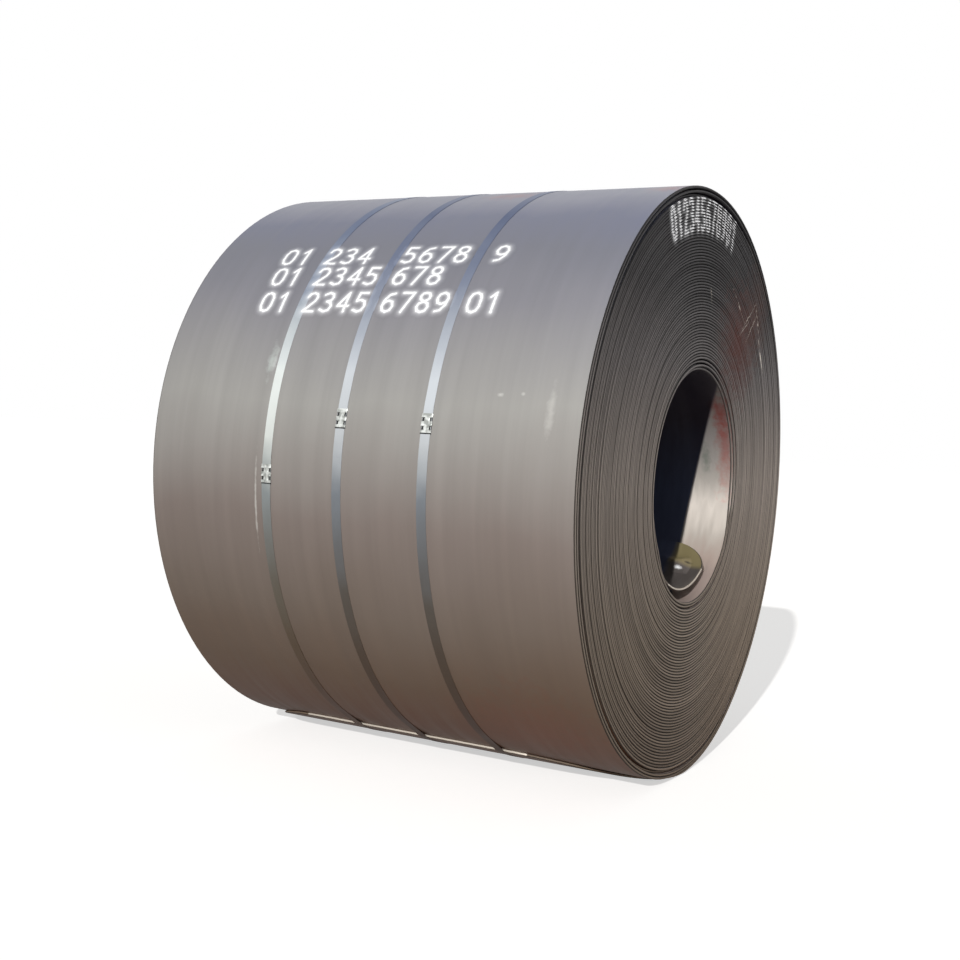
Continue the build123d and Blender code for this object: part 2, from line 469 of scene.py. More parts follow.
# settings that several nodes share
mixColors = {"data_type": "RGBA"}
multiply = {**mixColors, "blend_type": "MULTIPLY", 0: 1.0}
coilRange = {"From Min": -skinRadius, "From Max": skinRadius}
noiseRange = {"From Min": 0.3, "From Max": 0.7}      # nearly all of a noise's values lie in there
stripAttribute = {"attribute_name": "stripPlace"}


def addMark(tree, spot, color, radius, angle, place, size, turn, tint, strength, blend="MIX"):
    # one soft mark, its border broken up by fine noise
    flatten = addNode(tree, "ShaderNodeMapping", {
        "vector_type": "TEXTURE", "Location": aroundAxis(radius, angle, place * mm),
        "Rotation": (0, -math.radians(turn), 0), "Scale": Vector(size) * mm}, {"Vector": spot})
    away = addNode(tree, "ShaderNodeVectorMath", {"operation": "LENGTH"}, {0: flatten})
    broken = addNode(tree, "ShaderNodeTexNoise", {"Scale": 1 / (25 * mm), "Detail": 5.0, "Roughness": 0.6},
                     {"Vector": spot})
    edge = addNode(tree, "ShaderNodeMath", {"operation": "MULTIPLY_ADD", 1: 1.8}, {0: broken, 2: away})
    amount = addNode(tree, "ShaderNodeMapRange", {
        "From Min": 0.95, "From Max": 1.85, "To Min": strength, "To Max": 0.0}, {"Value": edge})
    return addNode(tree, "ShaderNodeMix", {**mixColors, "blend_type": blend, 7: tint}, {0: amount, 6: color})


def addMarks(tree, spot, color, marks):
    for mark in marks:
        color = addMark(tree, spot, color, *mark)
    return color


def addPlaces(tree):
    # place in the room, and its three parts
    spot = addNode(tree, "ShaderNodeTexCoord").outputs["Object"]
    return spot, addNode(tree, "ShaderNodeSeparateXYZ", {}, {"Vector": spot}).outputs


def addStreaks(tree, place, stretch, detail, roughness=0.5):
    # noise drawn out along one direction: stretch is one over the size of its waves, each way
    drawn = addNode(tree, "ShaderNodeMapping", {"Scale": stretch}, {"Vector": place})
    return addNode(tree, "ShaderNodeTexNoise", {"Scale": 1.0, "Detail": detail, "Roughness": roughness},
                   {"Vector": drawn})


def addSway(tree, level, pattern, amount):
    # a level that the pattern moves up and down
    raised = addNode(tree, "ShaderNodeMath", {"operation": "MULTIPLY_ADD", 1: amount}, {0: pattern, 2: level})
    return addNode(tree, "ShaderNodeMath", {"operation": "SUBTRACT", 1: amount / 2}, {0: raised})


def addTone(tree, color, first, second):
    both = addNode(tree, "ShaderNodeMath", {"operation": "MULTIPLY"}, {0: first, 1: second})
    return addNode(tree, "ShaderNodeMix", multiply, {6: color, 7: both})


def addSpray(tree, color, roughness):
    # white marking paint, solid on the strokes, thinning to a mist of fine drops round them
    reach = addNode(tree, "ShaderNodeAttribute", {"attribute_name": "strokeReach"}).outputs["Fac"]
    spot = addNode(tree, "ShaderNodeTexCoord").outputs["Object"]
    drops = addNode(tree, "ShaderNodeTexNoise", {"Scale": 1 / (5 * mm), "Detail": 2.0}, {"Vector": spot})
    ragged = addNode(tree, "ShaderNodeMath", {"operation": "MULTIPLY_ADD", 1: 5 * mm}, {0: drops, 2: reach})
    amount = addNode(tree, "ShaderNodeMapRange", {"From Max": 28 * mm}, {"Value": ragged})
    cover = addNode(tree, "ShaderNodeValToRGB", {"stops": (
        (0.20, 1), (0.28, 0.42), (0.42, 0.20), (0.62, 0.07), (0.88, 0))}, {"Fac": amount})
    painted = addNode(tree, "ShaderNodeMix", {**mixColors, 7: "#f4f4f6"}, {0: cover, 6: color})
    dull = addNode(tree, "ShaderNodeMix", {"data_type": "FLOAT", 3: 0.7}, {0: cover, 2: roughness})
    return painted, dull


def joinShader(tree, shader, color, roughness, sprayed=False):
    if sprayed:
        color, roughness = addSpray(tree, color, roughness)
    tree.links.new(mainOutput(color), shader.inputs["Base Color"])
    tree.links.new(mainOutput(roughness), shader.inputs["Roughness"])


def makeMillScale(name, sprayed=False):
    # hot-rolled strip with its mill scale on: a thin blue-grey oxide skin, smooth, with a soft
    # sheen and long faint streaks the way it was rolled. Its colour is bluish at the top and darker and
    # browner low down: painted reflections of the sky above and the ground below, with some dust and rust low
    # down
    material, tree, shader = newMaterial(name)
    spot, parts = addPlaces(tree)
    height = addNode(tree, "ShaderNodeMapRange", coilRange, {"Value": parts["Z"]})
    wound = addNode(tree, "ShaderNodeAttribute", stripAttribute).outputs["Vector"]
    streak = addStreaks(tree, wound, (1 / (909 * mm), 1 / (45.45 * mm), 1), 5.0, 0.55)
    mottle = addNode(tree, "ShaderNodeTexNoise", {"Scale": 1 / (455 * mm), "Detail": 4.0}, {"Vector": spot})
    # bluish towards the top, darker and browner low down: painted sky and ground reflections, with some dust
    # and rust
    ramp = addNode(tree, "ShaderNodeValToRGB", {"stops": (
        (0.07, "#56331d"), (0.17, "#5b4737"), (0.28, "#685b51"), (0.42, "#766b65"), (0.61, "#93918d"),
        (0.77, "#7b7a80"), (0.86, "#6c6d77"), (0.915, "#66697b"), (0.965, "#80818e"))},
        {"Fac": addSway(tree, height, mottle, 0.10)})
    # a little paler towards the marked end
    along = addNode(tree, "ShaderNodeMapRange", {
        "From Min": -halfWidth, "From Max": halfWidth, "To Min": 1.06, "To Max": 0.91}, {"Value": parts["Y"]})
    shade = addNode(tree, "ShaderNodeMapRange", {**noiseRange, "To Min": 0.93, "To Max": 1.06},
                    {"Value": streak})
    clean = addTone(tree, ramp, shade, along)
    # the oxide's grain, about 2 mm, is drawn 6 mm coarse so that it shows
    grain = addNode(tree, "ShaderNodeTexNoise", {"Scale": 1 / (6 * mm), "Detail": 2.0}, {"Vector": spot})
    bump = addNode(tree, "ShaderNodeBump", {"Strength": 0.06, "Distance": 1 * mm}, {"Height": grain})
    tree.links.new(bump.outputs["Normal"], shader.inputs["Normal"])
    roughness = addNode(tree, "ShaderNodeMapRange", {**noiseRange, "To Min": 0.40, "To Max": 0.52},
                        {"Value": streak})
    joinShader(tree, shader, addMarks(tree, spot, clean, skinMarks), roughness, sprayed)
    return material


def makeRolledEdge(name, sprayed=False):
    # the strip's rolled edge: dark scaled steel, rubbed brighter here and there
    material, tree, shader = newMaterial(name)
    spot, parts = addPlaces(tree)
    height = addNode(tree, "ShaderNodeMapRange", coilRange, {"Value": parts["Z"]})
    wound = addNode(tree, "ShaderNodeAttribute", stripAttribute).outputs["Vector"]
    streak = addStreaks(tree, wound, (1 / (2000 * mm), 0, 0), 6.0, 0.65)
    ramp = addNode(tree, "ShaderNodeValToRGB", {"stops": (
        (0.0, "#68584a"), (0.25, "#7d7063"), (0.50, "#857b73"), (0.70, "#615c5b"), (0.82, "#363334"),
        (0.95, "#242224"))}, {"Fac": height})
    side = addNode(tree, "ShaderNodeMapRange", {**coilRange, "To Min": 0.86, "To Max": 1.16},
                   {"Value": parts["X"]})
    shade = addNode(tree, "ShaderNodeMapRange", {**noiseRange, "To Min": 0.5, "To Max": 1.5},
                    {"Value": streak})
    clean = addTone(tree, ramp, shade, side)
    # darker deep in the grooves between the laps: painted shade there, with some dirt
    depth = addNode(tree, "ShaderNodeSeparateXYZ", {}, {"Vector": wound}).outputs["Z"]
    grooveShade = addNode(tree, "ShaderNodeValToRGB", {"stops": (
        (0.0, 0.06), (0.18, 0.25), (0.30, 1), (0.70, 1), (0.82, 0.25), (1.0, 0.06))}, {"Fac": depth})
    shadedGrooves = addNode(tree, "ShaderNodeMix", multiply, {6: clean, 7: grooveShade})
    shader.inputs["Specular IOR Level"].default_value = 0.15     # dirty: little glare at a flat angle
    roughness = addNode(tree, "ShaderNodeMapRange", {**noiseRange, "To Min": 0.60, "To Max": 0.42},
                        {"Value": streak})
    joinShader(tree, shader, addMarks(tree, spot, shadedGrooves, edgeMarks), roughness, sprayed)
    return material


def makeBoreSide():
    # the strip's inner face, seen in the bore: pale near the mouths in a crescent that follows where the key
    # light falls, with a rust-red patch, a dark bluish painted shade past the key light's shadow edge, and
    # the free head end dull and yellowed
    material, tree, shader = newMaterial("boreScale")
    spot, parts = addPlaces(tree)
    wound = addNode(tree, "ShaderNodeAttribute", stripAttribute).outputs["Vector"]
    run = addNode(tree, "ShaderNodeSeparateXYZ", {}, {"Vector": wound}).outputs["X"]
    streak = addStreaks(tree, wound, (1 / (200 * mm), 1 / (22.22 * mm), 1), 5.0)
    # how far the key light reaches in past the mouth: a painted lit crescent, deepest on the side away from
    # the seals, with painted shadow beyond it
    depth = addNode(tree, "ShaderNodeMath", {"operation": "ABSOLUTE"}, {0: parts["Y"]})
    leanX = addNode(tree, "ShaderNodeMath", {"operation": "MULTIPLY_ADD", 1: 0.385},
                    {0: parts["X"], 2: depth})
    leanZ = addNode(tree, "ShaderNodeMath", {"operation": "MULTIPLY_ADD", 1: -0.170},
                    {0: parts["Z"], 2: leanX})
    paintedLitCrescent = addNode(tree, "ShaderNodeMapRange", {
        "From Min": halfWidth - 6 * mm, "From Max": halfWidth + 5 * mm}, {"Value": leanZ})
    level = addNode(tree, "ShaderNodeMapRange", {"From Min": -380 * mm, "From Max": 380 * mm},
                    {"Value": addSway(tree, parts["Z"], streak, 0.12)})
    # the wall's colours where the key light falls, palest at mid-height: a painted highlight there
    bright = addNode(tree, "ShaderNodeValToRGB", {"stops": (
        (0.07, "#ad9c94"), (0.14, "#bba99e"), (0.25, "#c0b7ad"), (0.40, "#d6cdc3"), (0.50, "#b1aaa2"),
        (0.67, "#958f8b"), (0.88, "#766f6b"))}, {"Fac": level})
    # painted shade: the dark bluish colour of the wall past the key light's shadow edge
    dark = addNode(tree, "ShaderNodeValToRGB", {"stops": ((0.45, "#353b52"), (0.80, "#2c2630"))},
                   {"Fac": level})
    wall = addNode(tree, "ShaderNodeMix", mixColors, {0: paintedLitCrescent, 6: dark, 7: bright})
    # the head end, measured back from its tip
    headAt = math.radians(totalDegrees) * meanRadius
    onHead = addNode(tree, "ShaderNodeMapRange", {
        "From Min": headAt - 1.75 * meanRadius, "From Max": headAt - 1.45 * meanRadius}, {"Value": run})
    yellowing = addNode(tree, "ShaderNodeMapRange", {
        "From Min": headAt - 0.37 * meanRadius, "From Max": headAt - 0.30 * meanRadius}, {"Value": run})
    # painted shade: dark grey on the head end before the buckle, and yellowed past it
    shadedAndYellowed = addNode(tree, "ShaderNodeMix", {**mixColors, 6: "#544e4b", 7: "#857a58"}, {0: yellowing})
    # it too takes the dark painted shade deeper in
    seen = addNode(tree, "ShaderNodeMapRange", {"From Min": 585 * mm, "From Max": 610 * mm}, {"Value": depth})
    head = addNode(tree, "ShaderNodeMix", mixColors,
                   {0: seen, 6: dark, 7: addMarks(tree, spot, shadedAndYellowed, headMarks)})
    whole = addNode(tree, "ShaderNodeMix", mixColors,
                    {0: onHead, 6: addMarks(tree, spot, wall, boreMarks), 7: head})
    # duller deep inside, so that light from the other mouth doesn't glare there
    duller = addNode(tree, "ShaderNodeMapRange", {
        "From Min": 560 * mm, "From Max": 620 * mm, "To Min": 0.45, "To Max": 0.0}, {"Value": depth})
    rubbed = addNode(tree, "ShaderNodeMapRange", {**noiseRange, "To Min": 0.36, "To Max": 0.5},
                     {"Value": streak})
    roughness = addNode(tree, "ShaderNodeMath", {"operation": "ADD"}, {0: rubbed, 1: duller})
    shader.inputs["Metallic"].default_value = 0.25
    joinShader(tree, shader, whole, roughness)
    return material


def makeCutEnd():
    # sheared steel: a bright burnished band between the rolled-over lip and the dull break, with
    # drag lines across it. Of the dark bands along its two faces, one is painted shadow of the gap beside the
    # cut end
    material, tree, shader = newMaterial("shearedSteel")
    wound = addNode(tree, "ShaderNodeAttribute", stripAttribute).outputs["Vector"]
    depth = addNode(tree, "ShaderNodeSeparateXYZ", {}, {"Vector": wound}).outputs["Z"]
    drag = addStreaks(tree, addNode(tree, "ShaderNodeTexCoord").outputs["Object"], (1, 1 / (6 * mm), 1), 3.0)
    band = addNode(tree, "ShaderNodeMath", {"operation": "MULTIPLY_ADD", 1: 0.12}, {0: drag, 2: depth})
    ramp = addNode(tree, "ShaderNodeValToRGB", {"stops": (
        (0.14, "#4d443c"), (0.26, "#b3a89a"), (0.50, "#d8cfc2"), (0.78, "#b8ad9f"), (0.90, "#4a4038"))},
        {"Fac": band})
    shader.inputs["Metallic"].default_value = 0.4
    shader.inputs["Roughness"].default_value = 0.4
    tree.links.new(ramp.outputs["Color"], shader.inputs["Base Color"])
    return material


windStrip([makeMillScale("millScale"), makeRolledEdge("rolledEdge"), makeBoreSide(), makeCutEnd()])
print("strip wound")


# The straps: each one band, once round the coil, its two ends lying over each other at the seal

strap = dict(
    width=32.0 * mm,
    thickness=0.9 * mm,
    clearance=0.2 * mm,
    layerStep=1.05,               # from the under layer to the top layer, in thicknesses
    leadEnd=48.0 * mm,            # how far the under layer runs past the seal
    looseEnd=115.0 * mm,          # how far the top layer runs on below it
    stepDown=(0.3, 2.2),          # degrees past the under layer's end where the top layer steps down
    stepDegrees=1.0,
    edgeRound=0.25 * mm,
    wander=0.6 * mm,
    wanderDegrees=60.0,
    sharpAbove=40.0,
)
sealAngles = {"1": 181.4, "2": 170.7, "3": 170.8}


def bandRadius(angle):
    # the straps follow the skin, but run straight from the tail's tip down to the lap below
    skin = skinAt(angle)
    tailTip = skinRadius + sheetThickness + strip["tailGap"]
    lift = math.degrees(math.acos(skinRadius / tailTip))
    before = (strip["tailAngle"] - angle) % 360
    if before < lift:
        skin = skinRadius / math.cos(math.radians(lift - before))
    return skin + strap["clearance"]


def bendStrap(number, material):
    low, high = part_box(f"strap_{number}")
    place = (low.y + high.y) / 2
    loose = math.degrees(strap["looseEnd"] / skinRadius)
    lead = math.degrees(strap["leadEnd"] / skinRadius)
    sweep = 360 + loose + lead
    start = sealAngles[number] + loose
    half, bevel = strap["width"] / 2, strap["edgeRound"]
    under, over = bevel / strap["thickness"], 1 - bevel / strap["thickness"]
    section = [(-half + bevel, 0), (-half, under), (-half, over), (-half + bevel, 1),
               (half - bevel, 1), (half, over), (half, under), (half - bevel, 0)]
    rows = len(section)
    bm = newGrid(round(sweep / strap["stepDegrees"]), rows)
    for vert in bm.verts:
        swept, row = gridPlace(vert.co, sweep, rows)
        y, depth = section[round(row) % rows]
        # the band starts as the top layer and steps down just past the end of the under layer
        stepFrom, stepTo = (loose + lead + past for past in strap["stepDown"])
        layer = 1 - smoothStep(stepFrom, stepTo, swept)
        radius = bandRadius(start - swept) + (layer * strap["layerStep"] + depth) * strap["thickness"]
        wander = strap["wander"] * noise.noise(Vector((swept / strap["wanderDegrees"], float(number), 0)))
        vert.co = aroundAxis(radius, start - swept, place + y + wander)
    closeEnds(bm, rows)
    sharpenEdges(bm, strap["sharpAbove"])
    piece = finishPiece(f"strap_band_{number}", bm, [material])
    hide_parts(f"strap_{number}")


def makeStrapping(name, sprayed=False):
    # blued steel strapping: thin cold-rolled band, smooth and bright, dusty low down, and much paler in a
    # band at mid-height: a painted sheen
    material, tree, shader = newMaterial(name)
    spot, parts = addPlaces(tree)
    height = addNode(tree, "ShaderNodeMapRange", coilRange, {"Value": parts["Z"]})
    cloud = addNode(tree, "ShaderNodeTexNoise", {"Scale": 1 / (143 * mm), "Detail": 4.0}, {"Vector": spot})
    # the pale stops at mid-height are a painted sheen; brown low down is dust
    ramp = addNode(tree, "ShaderNodeValToRGB", {"stops": (
        (0.08, "#50372a"), (0.20, "#5f4f42"), (0.30, "#6b645d"), (0.46, "#8d939a"), (0.55, "#cdd1d4"),
        (0.65, "#d6dbe0"), (0.79, "#8a92a6"), (0.93, "#4f5d80"), (0.98, "#66708c"))},
        {"Fac": addSway(tree, height, cloud, 0.08)})
    # the band farthest from the marked end is the brightest and the least blue
    farBand = addNode(tree, "ShaderNodeMapRange", {"From Min": 80 * mm, "From Max": 240 * mm},
                      {"Value": parts["Y"]})
    cast = addNode(tree, "ShaderNodeMix", {**mixColors, 6: (0.80, 0.80, 0.80, 1), 7: (1.03, 1.03, 0.95, 1)},
                   {0: farBand})
    color = addNode(tree, "ShaderNodeMix", multiply, {6: ramp, 7: cast})
    shader.inputs["Metallic"].default_value = 0.0 if sprayed else 0.6
    roughness = addNode(tree, "ShaderNodeMapRange", {**noiseRange, "To Min": 0.38, "To Max": 0.48},
                        {"Value": cloud})
    joinShader(tree, shader, color, roughness, sprayed)
    return material


strapping = makeStrapping("steelStrapping")
for number in sealAngles:
    bendStrap(number, strapping)
print("straps bent")


# The seals: folded clips over both strap layers, crimped with two pairs of notches

seal = dict(
    halfLength=30.0 * mm,
    halfWidth=18.2 * mm,
    height=3.0 * mm,
    sheet=0.9 * mm,
    foldRadius=1.4 * mm,
    foldTurns=(30, 60, 90),
    flatShares=(0.92, 0.84, 0.76, 0.68, 0.6, 0.5, 0.25, 0),     # places across half its flat top
    sideFrom=0.9,                 # share of that half beyond which the sheet's inside also lies inwards
    foot=0.25 * mm,               # its sides end this far off the skin
    notchPlaces=(-12.5 * mm, 12.5 * mm),
    notchHalf=5.8 * mm,
    notchReach=11.0 * mm,         # how far in from the side the crimping jaw bit
    notchFull=0.55,               # share of that reach that is bitten to the full depth
    notchDepth=1.9 * mm,
    notchSteps=(-0.2 * mm, 0.2 * mm, 2.2 * mm),     # cross-sections about both ends of a bite
    drawnIn=0.35,                 # how far a bite draws the side in, as a share of its depth
    dark=0.3,                     # and the share of its depth beyond which it takes the near-black painted shadow
    flare=1.35 * mm,              # how far the metal between the bites stands up
    flareFades=0.9,               # over this share of half a bite
    lip=0.88,                     # where its turned-in ends begin, as a share of half its length
    offSkin=0.2 * mm,
    offBand=0.15 * mm,
    bandMargin=0.6 * mm,          # it is kept off the band this far past the band's side
    sharpAbove=50.0,
)


def crimpAt(along, out):
    # how far the sheet is pushed down here, below zero where it stands up
    bitten = smoothStep(seal["halfWidth"] - seal["notchReach"],
                        seal["halfWidth"] - seal["notchFull"] * seal["notchReach"], out)
    away = min(abs(along - place) for place in seal["notchPlaces"]) - seal["notchHalf"]
    if away < 0:
        return seal["notchDepth"] * bitten
    return -seal["flare"] * bitten * (1 - smoothStep(0, seal["flareFades"] * seal["notchHalf"], away))


def sealSection():
    # the folded sheet's outer and inner face: out from the middle, and up from the skin
    radius, sheet = seal["foldRadius"], seal["sheet"]
    flat, side = seal["halfWidth"] - radius, seal["height"] - radius
    outer = [(seal["halfWidth"], seal["foot"]), (seal["halfWidth"], side)]
    outer += [(flat + radius * math.cos(math.radians(turn)), side + radius * math.sin(math.radians(turn)))
              for turn in seal["foldTurns"]]
    outer += [(flat * share, seal["height"]) for share in seal["flatShares"]]
    inner = [(max(out - sheet, 0) if out > seal["sideFrom"] * flat else out, max(up - sheet, seal["foot"]))
             for out, up in outer]
    over = outer + [(-out, up) for out, up in reversed(outer[:-1])]
    return over + [(-out, up) for out, up in inner] + list(reversed(inner[:-1])), len(over)


def crimpSeal(number, materials):
    low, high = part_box(f"strap_seal_{number}")
    place = (low.y + high.y) / 2
    section, overCount = sealSection()
    lip = seal["lip"] * seal["halfLength"]
    bites = [middle + side * (seal["notchHalf"] + shift) for middle in seal["notchPlaces"]
             for side in (-1, 1) for shift in seal["notchSteps"]]
    stations = sorted({-seal["halfLength"], -lip, *seal["notchPlaces"], 0.0, lip, seal["halfLength"], *bites})
    rows, columns = len(section), len(stations) - 1
    bandTop = strap["clearance"] + (strap["layerStep"] + 1) * strap["thickness"]
    bm = newGrid(columns, rows)
    for face in bm.faces:
        station, row = (int(count) for count in gridPlace(face.calc_center_median(), columns, rows))
        pressed = crimpAt((stations[station] + stations[station + 1]) / 2, abs(section[row][0]))
        # painted shadow: near black in the deep bites and along its lower lip
        face.material_index = int(pressed > seal["dark"] * seal["notchDepth"] or station == 0)
    for vert in bm.verts:
        station, row = (round(count) for count in gridPlace(vert.co, columns, rows))
        out, up = section[row % rows]
        down = crimpAt(stations[station], abs(out))
        overBand = row % rows < overCount and abs(out) < strap["width"] / 2 + seal["bandMargin"]
        up = max(up - down, bandTop + seal["offBand"] if overBand else seal["offSkin"])
        out -= math.copysign(seal["drawnIn"], out) * max(down, 0.0)
        angle = sealAngles[number] - math.degrees(stations[station] / skinRadius)
        vert.co = aroundAxis(skinRadius + up, angle, place + out)
    closeEnds(bm, rows)
    sharpenEdges(bm, seal["sharpAbove"])
    piece = finishPiece(f"crimped_seal_{number}", bm, materials)
    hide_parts(f"strap_seal_{number}")


def makeSealSteel(name, dull, bright, metallic, roughness):
    # folded sheet, rippled where the crimping jaws gripped it
    material, tree, shader = newMaterial(name)
    spot = addNode(tree, "ShaderNodeTexCoord").outputs["Object"]
    ripples = addNode(tree, "ShaderNodeTexNoise", {"Scale": 1 / (16 * mm), "Detail": 1.0}, {"Vector": spot})
    ramp = addNode(tree, "ShaderNodeValToRGB", {"stops": ((0.40, dull), (0.60, bright))}, {"Fac": ripples})
    bump = addNode(tree, "ShaderNodeBump", {"Strength": 0.1, "Distance": 1 * mm}, {"Height": ripples})
    shader.inputs["Metallic"].default_value = metallic
    shader.inputs["Roughness"].default_value = roughness
    tree.links.new(ramp.outputs["Color"], shader.inputs["Base Color"])
    tree.links.new(bump.outputs["Normal"], shader.inputs["Normal"])
    return material


sealSteel = [makeSealSteel("crimpedSealSteel", "#a3a6a2", "#e0e3df", 0.6, 0.35),
             # the second is near black: painted shadow in the bites and under the lower lip
             makeSealSteel("paintedNotchShadow", "#0a0a0a", "#191a19", 0.0, 0.6)]
for number in sealAngles:
    crimpSeal(number, sealSteel)
print("seals crimped")


# The paint: rows of plain counting digits sprayed on the skin, and one row on the near end.
# Each is a thin film over the steel, solid on the strokes and thinning to a mist round them.

spray = dict(
    rows=(
        dict(angle=136.1, starts=(443, 271, -18, -339), groups=("01", "234", "5678", "9")),
        dict(angle=141.7, starts=(435, 265, -26), groups=("01", "2345", "678")),
        dict(angle=148.0, starts=(432, 260, -27, -324), groups=("01", "2345", "6789", "01")),
    ),
    pitch=62.0 * mm,
    digitWide=40.0 * mm,
    digitHigh=72.0 * mm,
    cell=3.0 * mm,
    skinAngles=(130.0, 154.0),
    skinPlaces=(-450.0 * mm, 490.0 * mm),
    bandMargin=0.9 * mm,          # the film lies over a strap this far past its side
    endDigits="012345678901",
    endAngles=(114.0, 76.0),
    endMargin=4.0,                # degrees of film past the first and the last digit
    endMiddle=883.0 * mm,
    endLaps=(44, 60),
    endDepths=(0.05, 0.18, 0.33, 0.5, 0.67, 0.82, 0.95),      # rows of film across each lap's edge
    endWide=31.0 * mm,
    endHeavier=2.8 * mm,          # the strokes on the end are this much wider to each side
    endHigh=100.0 * mm,
    strokeHalf=4.6 * mm,
    mist=20.0 * mm,
    film=0.15 * mm,
    filmUnder=0.2,                # its underside lies at this share of its height
    sharpAbove=35.0,
)
sprayReach = spray["mist"] + spray["strokeHalf"]

# centre lines of the strokes on a field 6 wide and 10 high
strokes = {
    "0": [[(3, 0), (1, 0.8), (0.1, 3), (0.1, 7), (1, 9.2), (3, 10), (5, 9.2), (5.9, 7), (5.9, 3), (5, 0.8),
           (3, 0)]],
    "1": [[(1.2, 7.8), (3.4, 10), (3.4, 0)]],
    "2": [[(0.3, 7.6), (1, 9.2), (2.9, 10), (4.9, 9.3), (5.7, 7.5), (5, 5.4), (0.2, 0), (5.9, 0)]],
    "3": [[(0.4, 9), (2.6, 10), (4.8, 9.3), (5.4, 7.4), (4.6, 5.8), (2.6, 5.3)],
          [(2.6, 5.3), (5, 4.5), (5.8, 2.7), (4.9, 0.7), (2.7, 0), (0.2, 1)]],
    "4": [[(4.4, 0), (4.4, 10), (0.1, 3), (6, 3)]],
    "5": [[(5.3, 10), (1, 10), (0.6, 5.6), (2.8, 6.2), (5, 5.4), (5.8, 3.1), (4.9, 0.8), (2.7, 0),
           (0.3, 0.9)]],
    "6": [[(5, 9.6), (2.6, 9), (0.7, 6.4), (0.1, 3), (1, 0.8), (3, 0), (5, 0.8), (5.8, 3), (4.9, 5.2),
           (3, 5.9), (1, 5), (0.1, 3)]],
    "7": [[(0.1, 10), (5.9, 10), (2, 0)]],
    "8": [[(3, 5.4), (0.9, 6.6), (0.5, 8.2), (1.3, 9.6), (3, 10), (4.7, 9.6), (5.5, 8.2), (5.1, 6.6),
           (3, 5.4), (0.8, 4.4), (0.1, 2.6), (1, 0.6), (3, 0), (5, 0.6), (5.9, 2.6), (5.2, 4.4), (3, 5.4)]],
    "9": [[(1, 0.4), (3.4, 1), (5.3, 3.6), (5.9, 7), (5, 9.2), (3, 10), (1, 9.2), (0.2, 7), (1.1, 4.8),
           (3, 4.1), (5, 5), (5.9, 7)]],
}


def placeDigit(digit, across, up, wide, high):
    # where its middle lies, and its straight runs about that middle
    lines = []
    for points in strokes[digit]:
        placed = [Vector(((x / 6 - 0.5) * wide, (y / 10 - 0.5) * high, 0)) for x, y in points]
        lines += zip(placed, placed[1:])
    return across, up, lines


def strokeDistance(across, up, digits):
    # metres from this place to the nearest stroke
    nearest = sprayReach
    for middleAcross, middleUp, lines in digits:
        spot = Vector((across - middleAcross, up - middleUp, 0))
        if abs(spot.x) < spray["digitHigh"] and abs(spot.y) < spray["digitHigh"]:
            for start, end in lines:
                close, share = geometry.intersect_point_line(spot, start, end)
                close = start if share < 0 else end if share > 1 else close
                nearest = min(nearest, (spot - close).length)
    return nearest


def sprayFilm(name, columns, rows, distanceAt, placeAt, materials, joined, materialAt):
    # a film of one cell to a column and row, left out where the spray didn't reach
    bm = newGrid(columns, rows)

    def cellOf(vert):
        column, row = gridPlace(vert.co, columns, rows)
        return round(column), round(row)

    distances = {cellOf(vert): distanceAt(*cellOf(vert)) for vert in bm.verts}
    bare = [face for face in bm.faces
            if min(distances[cellOf(vert)] for vert in face.verts) >= sprayReach
            or not joined(*(cellOf(vert)[1] for vert in face.verts))]
    bmesh.ops.delete(bm, geom=bare, context="FACES")
    lifted = bmesh.ops.extrude_face_region(bm, geom=bm.faces[:], use_keep_orig=True)["geom"]
    liftedVerts = [item for item in lifted if isinstance(item, bmesh.types.BMVert)]
    bmesh.ops.translate(bm, verts=liftedVerts, vec=(0, 0, 1))
    along = bm.verts.layers.float_vector.new("stripPlace")
    reach = bm.verts.layers.float.new("strokeReach")
    for vert in bm.verts:
        column, row = cellOf(vert)
        lift = spray["film"] * (spray["filmUnder"] + (1 - spray["filmUnder"]) * vert.co.z)
        vert[reach] = distances[column, row]
        vert.co, vert[along] = placeAt(column, row, lift)
    for face in bm.faces:
        face.material_index = materialAt(face.calc_center_median())
    sharpenEdges(bm, spray["sharpAbove"])
    finishPiece(name, bm, materials)


def spraySkin(materials):
    digits = []
    strapPlaces = [sum(corner.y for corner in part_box(f"strap_{number}")) / 2 for number in sealAngles]
    for row in spray["rows"]:
        for start, group in zip(row["starts"], row["groups"]):
            for index, digit in enumerate(group):
                across, up = -start * mm + index * spray["pitch"], -math.radians(row["angle"]) * skinRadius
                digits.append(placeDigit(digit, across, up, spray["digitWide"], spray["digitHigh"]))
    lowPlace, highPlace = spray["skinPlaces"]
    lowAngle, highAngle = spray["skinAngles"]
    columns = round((highPlace - lowPlace) / spray["cell"])
    rows = round(math.radians(highAngle - lowAngle) * skinRadius / spray["cell"])

    def onStrap(y):
        return min(abs(y - place) for place in strapPlaces) < strap["width"] / 2 + spray["bandMargin"]

    def spotAt(column, row):
        y = highPlace + (lowPlace - highPlace) * column / columns
        return y, lowAngle + (highAngle - lowAngle) * row / rows

    def distanceAt(column, row):
        y, angle = spotAt(column, row)
        return strokeDistance(-y, -math.radians(angle) * skinRadius, digits)

    def placeAt(column, row, lift):
        y, angle = spotAt(column, row)
        past = math.radians((angle - strip["tailAngle"]) % 360)
        if onStrap(y):
            lift += strap["clearance"] + strap["thickness"]
        return aroundAxis(skinAt(angle) + lift, angle, y), (past * meanRadius, y + halfWidth, 1)

    sprayFilm("sprayed_digits", columns, rows, distanceAt, placeAt, materials, lambda *rows: True,
              lambda middle: int(onStrap(middle.y)))


